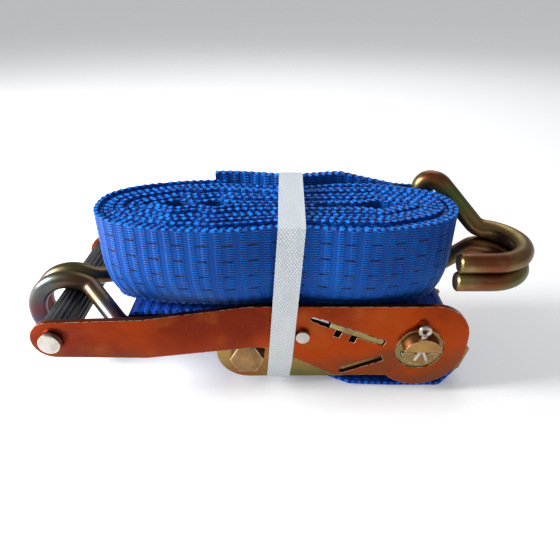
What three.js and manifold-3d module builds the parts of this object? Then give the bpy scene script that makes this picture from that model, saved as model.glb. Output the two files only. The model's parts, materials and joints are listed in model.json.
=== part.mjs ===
// Ratchet tie down, tied up for the shelf: the open ratchet lies on its side edge, the long
// strap is rolled on top of it, and both wire hooks are hung where they keep still.
// Millimetres, +Z up. X runs along the handle, Y along the spindle.
import * as THREE from 'three';
import { mergeVertices } from 'three/addons/utils/BufferGeometryUtils.js';
import Module from 'manifold-3d';

const wasm = await Module();
wasm.setup();

// ---- driving dimensions ----
const WEB_WIDTH = 50;          // webbing
const WEB_THICK = 2.4;
const PLATE = 3;               // pressed steel plates and both pawls
const SPINDLE_R = 10;          // the two half-round spindle bars
const SPINDLE_SLOT = 4.8;      // gap between them for the strap
const TOOTH_HEIGHT = 3.5;
const TEETH = 12;
const WIRE_R = 4.75;           // hook wire
const HOOK_BEND_R = 19.75;     // centre line of the hook's curve
const HOOK_REACH = 41.1;       // hook curve centre to its cross bar
const HOOK_SPAN = 55;          // between the two arms at the cross bar
const HOOK_PAIR = 9.8;         // between the two prongs
const HOOK_PRONG = 17;         // straight end of each prong
const BOLT_R = 5;              // M10 anchor bolt
const HANDLE_LENGTH = 184.5;   // spindle to grip axle
const GRIP_R = 8.5;
const ROLL_LENGTH = 173.7;     // rolled strap
const ROLL_DEPTH = 63;
const BAND_WIDTH = 12.4;
const BAND_THICK = 0.8;

// ---- clearances ----
const GAP = 0.3;               // pieces that touch
const PAWL_GAP = 0.35;         // pawl tip to what it rides on
const SLIDE_GAP = 0.3;         // each side of a pawl in its slot
const WEB_SIDE_GAP = 2.5;      // strap edge to frame plate

// ---- the stack along the spindle, measured out from the middle ----
const FRAME_IN = WEB_WIDTH / 2 + WEB_SIDE_GAP;
const FRAME_OUT = FRAME_IN + PLATE;
const DISC_THICK = 4;
const DISC_IN = FRAME_OUT + 0.5;
const DISC_OUT = DISC_IN + DISC_THICK;
const HANDLE_IN = DISC_OUT + 1;
const HANDLE_OUT = HANDLE_IN + PLATE;
const LEVER_SPREAD = 9;        // how much wider the handle is at the grip
const LEVER_IN = HANDLE_IN + LEVER_SPREAD;
const LEVER_OUT = HANDLE_OUT + LEVER_SPREAD;

// ---- round the spindle, measured from its centre ----
const BORE_R = SPINDLE_R + GAP;
const BOSS_R = BORE_R + 1.9;
const HUB_R = BOSS_R + GAP;
const ROOT_R = BOSS_R + 3.3;
const TIP_R = ROOT_R + TOOTH_HEIGHT;
const CAM_R = TIP_R + GAP;

// ---- anchor ----
const ANCHOR = { x: -90, z: -9 };
const SLEEVE_BORE = BOLT_R + GAP;
const SLEEVE_R = SLEEVE_BORE + 1.7;
const STRAP_EYE_R = SLEEVE_R + 0.4 + WEB_THICK / 2;
const BULGE_R = 16.8;

// ---- grip ----
const AXLE = { x: -HANDLE_LENGTH, z: 12.5 };
const AXLE_R = 4;
const AXLE_HOLE_R = AXLE_R + GAP;

// ---- strap heights ----
const ROLL_BOTTOM = 23.5;
const STRAP_LOW = -29.3;       // centre line of the strap's flat under the frame

const vector = (x, y, z) => new THREE.Vector3(x, y, z);
const flat = (x, z) => new THREE.Vector2(x, z);
const radians = THREE.MathUtils.degToRad;

// ---- solids ----

/** A closed three.js geometry as a solid that can be joined and cut. */
function solid(geometry) {
  const bare = geometry.clone();
  bare.deleteAttribute('normal');
  bare.deleteAttribute('uv');
  const merged = mergeVertices(bare, 1e-4);
  return new wasm.Manifold(new wasm.Mesh({
    numProp: 3,
    vertProperties: new Float32Array(merged.attributes.position.array),
    triVerts: new Uint32Array(merged.index.array),
  }));
}

function geometryOf(body) {
  const mesh = body.getMesh();
  const geometry = new THREE.BufferGeometry();
  geometry.setAttribute('position', new THREE.BufferAttribute(mesh.vertProperties, 3));
  geometry.setIndex(new THREE.BufferAttribute(mesh.triVerts, 1));
  const faceted = geometry.toNonIndexed();
  faceted.computeVertexNormals();
  return faceted;
}

/** Points of an arc about (x, z), angles in degrees, counter-clockwise when end > start. */
function arc(x, z, radius, start, end, steps) {
  return Array.from({ length: steps + 1 }, (_, i) => {
    const angle = radians(start + ((end - start) * i) / steps);
    return flat(x + radius * Math.cos(angle), z + radius * Math.sin(angle));
  });
}

/** A plate whose outline lies in the XZ plane, from y0 to y1. */
function plate(outline, y0, y1) {
  const geometry = new THREE.ExtrudeGeometry(new THREE.Shape(outline), {
    depth: y1 - y0,
    bevelEnabled: false,
  });
  geometry.rotateX(Math.PI / 2);
  geometry.translate(0, y1, 0);
  return solid(geometry);
}

/** A round bar along Y. */
function rod(x, z, radius, y0, y1, sides = 32) {
  const geometry = new THREE.CylinderGeometry(radius, radius, y1 - y0, sides);
  geometry.translate(x, (y0 + y1) / 2, z);
  return solid(geometry);
}

/** A strip whose outline lies in the XY plane, from z0 to z1. */
function slab(outline, z0, z1) {
  const geometry = new THREE.ExtrudeGeometry(new THREE.Shape(outline), {
    depth: z1 - z0,
    bevelEnabled: false,
  });
  geometry.translate(0, 0, z0);
  return solid(geometry);
}

/** Joins rings of equally many points into one closed skin, whichever way they run. */
function loft(rings) {
  const count = rings[0].length;
  const middle = (ring) => ring.reduce((sum, p) => sum.add(p), vector(0, 0, 0)).divideScalar(count);
  const points = [...rings.flat(), middle(rings[0]), middle(rings[rings.length - 1])];
  const faces = [];
  for (let r = 0; r < rings.length - 1; r += 1) {
    for (let i = 0; i < count; i += 1) {
      const j = (i + 1) % count;
      const low = r * count;
      const high = low + count;
      faces.push(low + i, low + j, high + j, low + i, high + j, high + i);
    }
  }
  const last = (rings.length - 1) * count;
  for (let i = 0; i < count; i += 1) {
    const j = (i + 1) % count;
    faces.push(points.length - 2, j, i, points.length - 1, last + i, last + j);
  }
  const geometry = new THREE.BufferGeometry().setFromPoints(points);
  geometry.setIndex(faces);
  const body = solid(geometry);
  return body.volume() > 0 ? body : loft([...rings].reverse());
}

/** A bar swept along listed points, with one section at each point. */
class PointPath extends THREE.Curve {
  constructor(points) {
    super();
    this.points = points;
  }

  getPoint(t, target = new THREE.Vector3()) {
    const place = t * (this.points.length - 1);
    const index = Math.min(Math.floor(place), this.points.length - 2);
    return target.lerpVectors(this.points[index], this.points[index + 1], place - index);
  }

  getPointAt(u, target) {
    return this.getPoint(u, target);
  }

  getTangentAt(u, target = new THREE.Vector3()) {
    const last = this.points.length - 1;
    const index = Math.round(u * last);
    const here = this.points[index];
    const before = this.points[Math.max(index - 1, 0)];
    const after = this.points[Math.min(index + 1, last)];
    const arriving = index > 0 ? here.clone().sub(before).normalize() : vector(0, 0, 0);
    const leaving = index < last ? after.clone().sub(here).normalize() : vector(0, 0, 0);
    return target.copy(arriving).add(leaving).normalize();
  }
}

function wire(points, radius, sides) {
  const section = new THREE.Shape(arc(0, 0, radius, 0, 360 - 360 / sides, sides - 1));
  return solid(new THREE.ExtrudeGeometry(section, {
    steps: points.length - 1,
    extrudePath: new PointPath(points),
  }));
}

/** Rounds the corners of a line of 3-D points; corner i has radii[i], 0 keeps it sharp. */
function rounded(corners, radii, degreesPerStep) {
  const points = [];
  corners.forEach((corner, i) => {
    if (!radii[i]) {
      points.push(corner.clone());
      return;
    }
    const back = corners[i - 1].clone().sub(corner).normalize();
    const on = corners[i + 1].clone().sub(corner).normalize();
    const turn = Math.PI - back.angleTo(on);
    const length = radii[i] * Math.tan(turn / 2);
    const inward = back.clone().add(on).normalize();
    const centre = corner.clone().addScaledVector(inward, radii[i] / Math.cos(turn / 2));
    const first = corner.clone().addScaledVector(back, length).sub(centre);
    const axis = first.clone().cross(corner.clone().addScaledVector(on, length).sub(centre)).normalize();
    const steps = Math.max(2, Math.ceil(THREE.MathUtils.radToDeg(turn) / degreesPerStep));
    for (let s = 0; s <= steps; s += 1) {
      points.push(first.clone().applyAxisAngle(axis, (turn * s) / steps).add(centre));
    }
  });
  return points;
}

/** A flat strap along stations {u, v, low, high}; place(u, v, w) says where a point lies. */
function ribbon(stations, thick, place) {
  const rings = stations.map((station, i) => {
    const before = stations[Math.max(i - 1, 0)];
    const after = stations[Math.min(i + 1, stations.length - 1)];
    const along = flat(after.u - before.u, after.v - before.v).normalize();
    const side = flat(-along.y, along.x).multiplyScalar(thick / 2);
    const corner = (sign, w) => place(station.u + sign * side.x, station.v + sign * side.y, w);
    return [
      corner(1, station.low),
      corner(1, station.high),
      corner(-1, station.high),
      corner(-1, station.low),
    ];
  });
  return loft(rings);
}

/** Stations at even shares of the way from a to b. */
function between(a, b, steps) {
  return Array.from({ length: steps }, (_, i) => {
    const t = (i + 1) / (steps + 1);
    const mix = (key) => a[key] + (b[key] - a[key]) * t;
    return { u: mix('u'), v: mix('v'), low: mix('low'), high: mix('high') };
  });
}

// ---- scene graph ----
const part = new THREE.Group();

function add(name, body, colour, roughness, metalness) {
  const material = new THREE.MeshStandardMaterial({ color: colour, roughness, metalness });
  const mesh = new THREE.Mesh(geometryOf(body), material);
  mesh.name = name;
  part.add(mesh);
}

const sides = [
  { name: 'near', sign: -1 },
  { name: 'far', sign: 1 },
];

/** [y0, y1] of a layer between two distances from the middle, on one side. */
function layer(sign, inner, outer) {
  return sign < 0 ? [-outer, -inner] : [inner, outer];
}

// ---- pawl lines: a direction out from the spindle and an offset square to it ----
function pawlLine(degrees, offset) {
  const out = flat(Math.cos(radians(degrees)), Math.sin(radians(degrees)));
  const up = flat(Math.abs(out.y), Math.abs(out.x));
  up.x = out.y > 0 ? up.x : -up.x;
  return (s, height) => flat(
    out.x * s + up.x * (offset + height),
    out.y * s + up.y * (offset + height),
  );
}

const HANDLE_PAWL_OFFSET = -3.66;
const LOCK_PAWL_OFFSET = 1.41;
const handleLine = pawlLine(158.07, HANDLE_PAWL_OFFSET);
const lockLine = pawlLine(201.6, LOCK_PAWL_OFFSET);

/** A block on a pawl line: s along the line, h square to it, y across. */
function block(line, s0, s1, h0, h1, y0, y1) {
  return plate([line(s0, h0), line(s1, h0), line(s1, h1), line(s0, h1)], y0, y1);
}

/** A slot on a pawl line with a round far end. */
function slot(line, s0, s1, width, y0, y1) {
  const half = width / 2;
  const end = arc(s1 - half, 0, half, -90, 90, 6).map((p) => line(p.x, p.y));
  return plate([line(s0, half), line(s0, -half), ...end], y0, y1);
}

// ---- frame plates ----
const ARM_TOP = 3;
const ARM_BOTTOM = -25.6;
const BELLY_R = 27.8;
const LOCK_TIP = ROOT_R + PAWL_GAP;
const LOCK_LENGTH = 28;
const LOCK_TRAVEL = 4.5;
const HANDLE_TIP = Math.sqrt((CAM_R + PAWL_GAP) ** 2 - (Math.abs(HANDLE_PAWL_OFFSET) - PLATE / 2) ** 2);
const HANDLE_PAWL_LENGTH = 29.8;
const HANDLE_TRAVEL = 4.5;
const SLOT_WIDTH = PLATE + 2 * SLIDE_GAP;

const bulgeStart = THREE.MathUtils.radToDeg(Math.asin((ARM_TOP - ANCHOR.z) / BULGE_R));
const bellyStart = THREE.MathUtils.radToDeg(Math.acos(ARM_BOTTOM / BELLY_R));
const frameOutline = [
  ...arc(0, 0, CAM_R, -8, 184, 32),
  flat(-CAM_R - 1.7, -1.5),
  flat(-36, ARM_TOP),
  ...arc(ANCHOR.x, ANCHOR.z, BULGE_R, bulgeStart, 270, 20),
  ...arc(0, 0, BELLY_R, 270 - (180 - bellyStart), 290, 8),
  flat(19, -25),
  flat(26, -20),
  flat(29.7, -7),
  flat(20.5, -4.2),
];

for (const { name, sign } of sides) {
  const [y0, y1] = layer(sign, FRAME_IN, FRAME_OUT);
  const slotEnd = LOCK_TIP + LOCK_LENGTH + LOCK_TRAVEL + GAP + SLOT_WIDTH / 2;
  const body = plate(frameOutline, y0, y1)
    .subtract(rod(0, 0, HUB_R, y0 - 1, y1 + 1, 48))
    .subtract(rod(ANCHOR.x, ANCHOR.z, SLEEVE_BORE, y0 - 1, y1 + 1))
    .subtract(slot(lockLine, LOCK_TIP - 0.45, slotEnd, SLOT_WIDTH, y0 - 1, y1 + 1));
  add(`frame_plate_${name}`, body, 0x6f3424, 0.45, 0.75);
}

// ---- ratchet wheels ----
const TOOTH_PITCH = 360 / TEETH;
const TOOTH_START = 189.9;     // the radial face that the lock pawl's gap begins at
const wheelOutline = Array.from({ length: TEETH }, (_, k) => {
  const start = TOOTH_START + k * TOOTH_PITCH;
  return [
    ...arc(0, 0, ROOT_R, start, start + 0.467 * TOOTH_PITCH, 3),
    ...arc(0, 0, TIP_R, start + 0.833 * TOOTH_PITCH, start + TOOTH_PITCH, 1),
  ];
}).flat();

function halfMoon(radius, slotHeight, sign, y0, y1) {
  const tilt = THREE.MathUtils.radToDeg(Math.asin(slotHeight / 2 / radius));
  const outline = arc(0, 0, radius, tilt, 180 - tilt, 18).map((p) => flat(p.x, sign * p.y));
  return plate(outline, y0, y1);
}

const WEB_IN_BORE = SPINDLE_SLOT - 2 * GAP;
for (const { name, sign } of sides) {
  const reach = [FRAME_IN + 0.1, HANDLE_OUT - GAP];
  let body = plate(wheelOutline, ...layer(sign, DISC_IN, DISC_OUT))
    .add(rod(0, 0, BOSS_R, ...layer(sign, ...reach), 48));
  for (const half of [1, -1]) {
    body = body.subtract(halfMoon(BORE_R, WEB_IN_BORE, half, ...layer(sign, FRAME_IN - 1, HANDLE_OUT + 1)));
  }
  add(`ratchet_wheel_${name}`, body, 0x8a6a3a, 0.4, 0.8);
}

// ---- spindle and its cotter pins ----
const SPINDLE_LONG = HANDLE_OUT + 6;
const SPINDLE_SHORT = HANDLE_OUT + 0.6;
const PIN_R = 1.6;
const PIN_Y = HANDLE_OUT + 3.3;
const PIN_EYE_R = 2.4;
const PIN_EYE_WIRE = 1.1;
let upper = halfMoon(SPINDLE_R, SPINDLE_SLOT, 1, -SPINDLE_LONG, SPINDLE_LONG);
for (const { sign } of sides) {
  const hole = new THREE.CylinderGeometry(PIN_R + GAP, PIN_R + GAP, 3 * SPINDLE_R, 16);
  hole.rotateX(Math.PI / 2);
  hole.translate(0, sign * PIN_Y, SPINDLE_R);
  upper = upper.subtract(solid(hole));
}
add('spindle_half_upper', upper, 0x59402c, 0.4, 0.85);
add('spindle_half_lower', halfMoon(SPINDLE_R, SPINDLE_SLOT, -1, -SPINDLE_SHORT, SPINDLE_SHORT), 0x59402c, 0.4, 0.85);

for (const { name, sign } of sides) {
  const eyeHeight = SPINDLE_R + GAP + PIN_EYE_R + PIN_EYE_WIRE;
  const y = sign * PIN_Y;
  const ring = new THREE.TorusGeometry(PIN_EYE_R, PIN_EYE_WIRE, 8, 20);
  ring.rotateX(Math.PI / 2);
  ring.translate(0, y, eyeHeight);
  const neck = [vector(0, y, eyeHeight - PIN_EYE_R), vector(0, y, 1.5)];
  let body = solid(ring).add(wire(neck, PIN_R, 10));
  for (const lean of [-1, 1]) {
    const leg = [vector(lean * 0.5, y, 3), vector(lean * 0.8, y, 0.5), vector(lean * 3, y, -4.5)];
    body = body.add(wire(leg, 0.9, 8));
  }
  add(`cotter_pin_${name}`, body, 0x9a9a92, 0.35, 0.9);
}

// ---- lock pawl, its spring and the frame's cross plate ----
const LOCK_HALF = DISC_OUT + 0.2;
const WINDOW_HALF = 12;
const SEAT_HALF = 8;
const SEAT_THICK = 2.5;
const SPRING_R = 3;
const SPRING_WIRE = 0.5;
const LOCK_WINDOW = LOCK_TIP + 11.2;
const LOCK_SEAT = LOCK_TIP + 25.2;
const lockPawl = block(lockLine, LOCK_TIP, LOCK_TIP + LOCK_LENGTH, -PLATE / 2, PLATE / 2, -LOCK_HALF, LOCK_HALF)
  .subtract(block(lockLine, LOCK_WINDOW, LOCK_TIP + 40, -PLATE, PLATE, -WINDOW_HALF, WINDOW_HALF));
add('lock_pawl', lockPawl, 0x7a5a34, 0.4, 0.8);

const CROSS_TOP = -SPRING_R - SPRING_WIRE - 0.4;
const CROSS_THICK = 2.5;
const crossPlate = block(lockLine, LOCK_WINDOW - 2, LOCK_SEAT + SEAT_THICK, CROSS_TOP - CROSS_THICK, CROSS_TOP,
  -(FRAME_IN - GAP), FRAME_IN - GAP)
  .add(block(lockLine, LOCK_SEAT, LOCK_SEAT + SEAT_THICK, CROSS_TOP - 1, 1.9, -SEAT_HALF, SEAT_HALF));
add('frame_cross_plate', crossPlate, 0x6f3424, 0.5, 0.7);

/** A coil spring lying on a pawl line. */
function coilSpring(line, s0, s1, turns) {
  const stepsPerTurn = 10;
  const count = turns * stepsPerTurn;
  const points = Array.from({ length: count + 1 }, (_, i) => {
    const angle = (i / stepsPerTurn) * 2 * Math.PI;
    const foot = line(s0 + ((s1 - s0) * i) / count, SPRING_R * Math.sin(angle));
    return vector(foot.x, SPRING_R * Math.cos(angle), foot.y);
  });
  return wire(points, SPRING_WIRE, 5);
}

const springEnd = GAP + SPRING_WIRE + 0.15;
add('lock_pawl_spring', coilSpring(lockLine, LOCK_WINDOW + springEnd, LOCK_SEAT - springEnd, 4), 0xb0a890, 0.35, 0.9);

// ---- anchor bolt, nut and sleeve ----
const BOLT_FLATS = 16;
function hexagon(y0, y1) {
  const corner = BOLT_FLATS / 2 / Math.cos(radians(30));
  return plate(arc(ANCHOR.x, ANCHOR.z, corner, 0, 300, 5), y0, y1);
}

const HEAD_HEIGHT = 6.4;
const NUT_HEIGHT = 8;
const headSeat = FRAME_OUT + GAP;
const bolt = hexagon(-headSeat - HEAD_HEIGHT, -headSeat)
  .add(rod(ANCHOR.x, ANCHOR.z, BOLT_R, -headSeat - 1, headSeat + NUT_HEIGHT + 3.2, 24));
add('anchor_bolt', bolt, 0x6a4b33, 0.4, 0.85);
const nut = hexagon(headSeat, headSeat + NUT_HEIGHT)
  .subtract(rod(ANCHOR.x, ANCHOR.z, SLEEVE_BORE, headSeat - 1, headSeat + NUT_HEIGHT + 1, 24));
add('anchor_nut', nut, 0x6a4b33, 0.4, 0.85);
const sleeve = rod(ANCHOR.x, ANCHOR.z, SLEEVE_R, -(FRAME_IN - GAP), FRAME_IN - GAP)
  .subtract(rod(ANCHOR.x, ANCHOR.z, SLEEVE_BORE, -FRAME_IN, FRAME_IN, 24));
add('anchor_sleeve', sleeve, 0x8d8577, 0.45, 0.8);

// ---- handle plates ----
const HANDLE_TOP = 26.2;
const HANDLE_BOTTOM = -17.5;
const END_R = 10.5;
const HANDLE_BELLY_R = 24;
const SHOULDER = { x: 5, z: 7.2, r: 19 };
const bellyFrom = THREE.MathUtils.radToDeg(Math.asin(HANDLE_BOTTOM / HANDLE_BELLY_R));
const handleOutline = [
  ...arc(AXLE.x, AXLE.z, END_R, 90, 270, 12),
  flat(-77.7, 0.7),
  flat(-44, HANDLE_BOTTOM),
  ...arc(0, 0, HANDLE_BELLY_R, 180 - bellyFrom, 360, 16),
  ...arc(SHOULDER.x, SHOULDER.z, SHOULDER.r, 0, 90, 10),
  flat(-92, HANDLE_TOP),
];
const JOGGLE_FROM = -87;
const JOGGLE_TO = -139;
const SPACER = { x: -61, z: 8.7 };
const RIVET_R = 2.6;
const SLOT_END = HANDLE_TIP + HANDLE_PAWL_LENGTH + HANDLE_TRAVEL + 1.2;

for (const { name, sign } of sides) {
  const strip = [
    flat(40, sign * HANDLE_IN),
    flat(JOGGLE_FROM, sign * HANDLE_IN),
    flat(JOGGLE_TO, sign * LEVER_IN),
    flat(AXLE.x - 20, sign * LEVER_IN),
    flat(AXLE.x - 20, sign * LEVER_OUT),
    flat(JOGGLE_TO, sign * LEVER_OUT),
    flat(JOGGLE_FROM, sign * HANDLE_OUT),
    flat(40, sign * HANDLE_OUT),
  ];
  const [y0, y1] = layer(sign, HANDLE_IN - 1, LEVER_OUT + 1);
  let body = slab(strip, -40, 40)
    .intersect(plate(handleOutline, y0, y1))
    .subtract(rod(0, 0, HUB_R, y0, y1, 48))
    .subtract(rod(AXLE.x, AXLE.z, AXLE_HOLE_R, y0, y1, 24))
    .subtract(rod(SPACER.x, SPACER.z, RIVET_R + GAP, y0, y1, 20))
    .subtract(block(handleLine, HANDLE_TIP - 1, SLOT_END, -SLOT_WIDTH / 2, SLOT_WIDTH / 2, y0, y1))
    .subtract(slot(handleLine, SLOT_END - 1, SLOT_END + 5, 2.6, y0, y1))
    .subtract(slot(lockLine, LOCK_TIP + 4, LOCK_TIP + LOCK_LENGTH, SLOT_WIDTH, y0, y1));
  for (const s of [35, 43.6]) {
    body = body.subtract(block(handleLine, s - 1.7, s + 1.7, -5.6, 0, y0, y1));
  }
  add(`handle_plate_${name}`, body, 0x7d2b0e, 0.45, 0.75);
}

// ---- handle pawl, its spring and the seat on the spacer tube ----
const HANDLE_PAWL_END = HANDLE_TIP + HANDLE_PAWL_LENGTH;
const TAB_END = HANDLE_PAWL_END + 4.7;
const HANDLE_WINDOW = HANDLE_TIP + 11.5;
const HANDLE_SEAT = HANDLE_TIP + 25.5;
const handlePawl = block(handleLine, HANDLE_TIP, HANDLE_PAWL_END, -PLATE / 2, PLATE / 2, -HANDLE_OUT, HANDLE_OUT)
  .add(block(handleLine, HANDLE_PAWL_END - 4, TAB_END, -PLATE / 2, PLATE / 2, -WINDOW_HALF - 2, WINDOW_HALF + 2))
  .subtract(block(handleLine, HANDLE_WINDOW, HANDLE_PAWL_END + 0.7, -PLATE, PLATE, -WINDOW_HALF, WINDOW_HALF));
add('handle_pawl', handlePawl, 0x50512f, 0.4, 0.8);
add('handle_pawl_spring', coilSpring(handleLine, HANDLE_WINDOW + springEnd, HANDLE_SEAT - springEnd, 4),
  0xb0a890, 0.35, 0.9);

const TUBE_R = 5;
const TUBE_HALF = HANDLE_IN - GAP;
const SEAT_FOOT = -12;
const tubeCut = rod(SPACER.x, SPACER.z, RIVET_R + GAP, -HANDLE_IN, HANDLE_IN, 20);
const spacerTube = rod(SPACER.x, SPACER.z, TUBE_R, -TUBE_HALF, TUBE_HALF, 28)
  .add(block(handleLine, HANDLE_SEAT, HANDLE_SEAT + SEAT_THICK, SEAT_FOOT, 1.9, -SEAT_HALF, SEAT_HALF))
  .add(block(handleLine, HANDLE_SEAT, HANDLE_SEAT + 13, SEAT_FOOT, SEAT_FOOT + 2, -SEAT_HALF, SEAT_HALF))
  .subtract(tubeCut);
add('spacer_tube', spacerTube, 0x5a5a3a, 0.5, 0.7);

const RIVET_HEAD_R = 3.5;
const RIVET_HEAD = 2;
const rivetSeat = HANDLE_OUT + GAP;
const rivet = rod(SPACER.x, SPACER.z, RIVET_R, -rivetSeat - 1, rivetSeat + 1, 16)
  .add(rod(SPACER.x, SPACER.z, RIVET_HEAD_R, -rivetSeat - RIVET_HEAD, -rivetSeat, 20))
  .add(rod(SPACER.x, SPACER.z, RIVET_HEAD_R, rivetSeat, rivetSeat + RIVET_HEAD, 20));
add('spacer_rivet', rivet, 0x6a4b33, 0.4, 0.85);

// ---- grip and its axle ----
const axleSeat = LEVER_OUT + GAP;
const AXLE_HEAD = 3.5;
const axle = rod(AXLE.x, AXLE.z, AXLE_R, -axleSeat - 1, axleSeat + 1, 24)
  .add(rod(AXLE.x, AXLE.z, AXLE_R + 1.5, -axleSeat - AXLE_HEAD, -axleSeat, 24))
  .add(rod(AXLE.x, AXLE.z, AXLE_R + 1.5, axleSeat, axleSeat + AXLE_HEAD, 24));
add('handle_axle', axle, 0x9c9c98, 0.3, 0.9);
const grip = rod(AXLE.x, AXLE.z, GRIP_R, -(LEVER_IN - GAP), LEVER_IN - GAP, 32)
  .subtract(rod(AXLE.x, AXLE.z, AXLE_HOLE_R, -LEVER_IN, LEVER_IN, 24));
add('grip', grip, 0x17181a, 0.8, 0);

// ---- hooks ----
const LOOP_R = WIRE_R + 0.35 + WEB_THICK / 2;  // centre line of the strap round a cross bar
const CORNER_R = 5.2;
const SLOPE_R = 8;
const SQUARE_RUN = 9;          // how far an arm runs square to the cross bar
const SLOPE_END = 4;           // straight run left before the hook's curve

/** Points of one bent wire. place(p, q, w): p and q in the plane of the curve, w across it. */
function hookPoints(place) {
  const barAngle = 127.25;
  const touch = barAngle - THREE.MathUtils.radToDeg(Math.acos(HOOK_BEND_R / HOOK_REACH));
  const bar = flat(HOOK_REACH * Math.cos(radians(barAngle)), HOOK_REACH * Math.sin(radians(barAngle)));
  const start = flat(HOOK_BEND_R * Math.cos(radians(touch)), HOOK_BEND_R * Math.sin(radians(touch)));
  const length = bar.distanceTo(start);
  const toStart = start.clone().sub(bar).divideScalar(length);
  const onArm = (d, w) => vector(bar.x + toStart.x * d, bar.y + toStart.y * d, w);
  const arm = (sign) => [
    onArm(length, (sign * HOOK_PAIR) / 2),
    onArm(length - SLOPE_END, (sign * HOOK_PAIR) / 2),
    onArm(SQUARE_RUN, (sign * HOOK_SPAN) / 2),
    onArm(0, (sign * HOOK_SPAN) / 2),
  ];
  const curve = (sign) => [
    vector(-HOOK_PRONG, -HOOK_BEND_R, (sign * HOOK_PAIR) / 2),
    ...arc(0, 0, HOOK_BEND_R, -90, touch, 13).map((p) => vector(p.x, p.y, (sign * HOOK_PAIR) / 2)),
  ];
  const middle = rounded([...arm(1), ...arm(-1).reverse()],
    [0, SLOPE_R, SLOPE_R, CORNER_R, CORNER_R, SLOPE_R, SLOPE_R, 0], 16);
  const line = [...curve(1), ...middle.slice(1, -1), ...curve(-1).reverse()];
  return line.map((p) => place(p.x, p.y, p.z));
}

const LONG_BAR = { x: 2.5, y: 12.5, z: 46.4 };
const barFoot = flat(HOOK_REACH * Math.cos(radians(127.25)), HOOK_REACH * Math.sin(radians(127.25)));
const longHook = wire(hookPoints((p, q, w) => vector(
  LONG_BAR.x - barFoot.x + p,
  LONG_BAR.y - barFoot.y + q,
  LONG_BAR.z + w,
)), WIRE_R, 10);
add('long_hook', longHook, 0x6b6a45, 0.35, 0.85);

const SHORT_HOOK_Y = -8;
const HANG = HOOK_BEND_R - WIRE_R - GRIP_R - GAP;  // curve centre under the grip's centre
const HANG_LEAN = 70.2;
const shortCentre = flat(
  AXLE.x - HANG * Math.cos(radians(HANG_LEAN)),
  AXLE.z - HANG * Math.sin(radians(HANG_LEAN)),
);
const SHORT_BAR_ANGLE = 4.66;
const shortTurn = radians(SHORT_BAR_ANGLE + 127.25);
const shortHook = wire(hookPoints((p, q, w) => vector(
  shortCentre.x + p * Math.cos(shortTurn) + q * Math.sin(shortTurn),
  SHORT_HOOK_Y + w,
  shortCentre.y + p * Math.sin(shortTurn) - q * Math.cos(shortTurn),
)), WIRE_R, 10);
add('short_hook', shortHook, 0x55645f, 0.35, 0.85);
const shortBar = flat(
  shortCentre.x + HOOK_REACH * Math.cos(radians(SHORT_BAR_ANGLE)),
  shortCentre.y + HOOK_REACH * Math.sin(radians(SHORT_BAR_ANGLE)),
);

// ---- short strap: from the anchor, under the frame, up between its plates and back to the hook ----
const inFrame = (u, v, y = 0, width = WEB_WIDTH) => ({ u, v, low: y - width / 2, high: y + width / 2 });
const HOOK_END_WIDTH = HOOK_SPAN - 2 * WIRE_R - 1;
const OUTSIDE = -8;            // the slack strap lies towards the near plate outside the frame
const EYE_LEAVE = 254;         // where the strap leaves the anchor eye
const LAP = WEB_THICK - 0.1;   // sewn layers

/** Rounds a strap's corners; y and width change evenly along each straight. */
function strapStations(corners, radius) {
  const points = corners.map((c) => vector(c.u, 0, c.v));
  const radii = corners.map((c, i) => (i === 0 || i === corners.length - 1 ? 0 : radius));
  const line = rounded(points, radii, 12);
  return line.map((p) => {
    const distances = corners.slice(0, -1).map((c, i) => {
      const segment = new THREE.Line3(points[i], points[i + 1]);
      const near = segment.closestPointToPoint(p, true, vector(0, 0, 0));
      return { i, gap: near.distanceTo(p), t: segment.closestPointToPointParameter(p, true) };
    });
    const best = distances.reduce((a, b) => (b.gap < a.gap ? b : a));
    const from = corners[best.i];
    const to = corners[best.i + 1];
    const mix = (key) => from[key] + (to[key] - from[key]) * best.t;
    return { u: p.x, v: p.z, low: mix('low'), high: mix('high') };
  });
}

const eye = (start, end, steps) => arc(ANCHOR.x, ANCHOR.z, STRAP_EYE_R, start, end, steps)
  .map((p) => inFrame(p.x, p.y));
const leave = eye(EYE_LEAVE, EYE_LEAVE + 1, 1)[0];
const fallSlope = Math.tan(radians(EYE_LEAVE + 90));
const underArm = (x) => inFrame(x, leave.v + (x - leave.u) * fallSlope);
const route = [
  leave,
  underArm(-58.5),
  inFrame(-50, -27.5),
  inFrame(-34, -28.3, OUTSIDE),
  inFrame(-10, STRAP_LOW, OUTSIDE),
  inFrame(15.6, STRAP_LOW, OUTSIDE),
  inFrame(27.2, -21, -2),
  inFrame(27.6, -12, 0),
  inFrame(20, 2, 0),
  inFrame(16, 12.6, -0.5),
  inFrame(-22, 12.4, 0),
  inFrame(-44, 20.4, -6),
  inFrame(-60, 22, OUTSIDE),
  inFrame(shortBar.x, shortBar.y + LOOP_R, OUTSIDE, HOOK_END_WIDTH),
];
const placeStrap = (u, v, w) => vector(u, w, v);
const topOfEye = eye(80, EYE_LEAVE, 16);
const mainRun = ribbon([...topOfEye.slice(0, -1), ...strapStations(route, 6)], WEB_THICK, placeStrap);
const lapped = (x) => {
  const foot = underArm(x);
  return inFrame(foot.u - LAP * fallSlope * Math.cos(Math.atan(fallSlope)), foot.v + LAP * Math.cos(Math.atan(fallSlope)));
};
const eyeEnd = ribbon([...eye(90, -30, 10), lapped(-78.5), lapped(-64)], WEB_THICK, placeStrap);
const loopHalf = HOOK_END_WIDTH / 2;
const hookLoop = rod(shortBar.x, shortBar.y, LOOP_R + WEB_THICK / 2, OUTSIDE - loopHalf, OUTSIDE + loopHalf);
const topSlope = (22 - (shortBar.y + LOOP_R)) / (-60 - shortBar.x);
const sewn = (x) => inFrame(x, 22 + (x + 60) * topSlope - LAP, OUTSIDE, HOOK_END_WIDTH);
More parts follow.
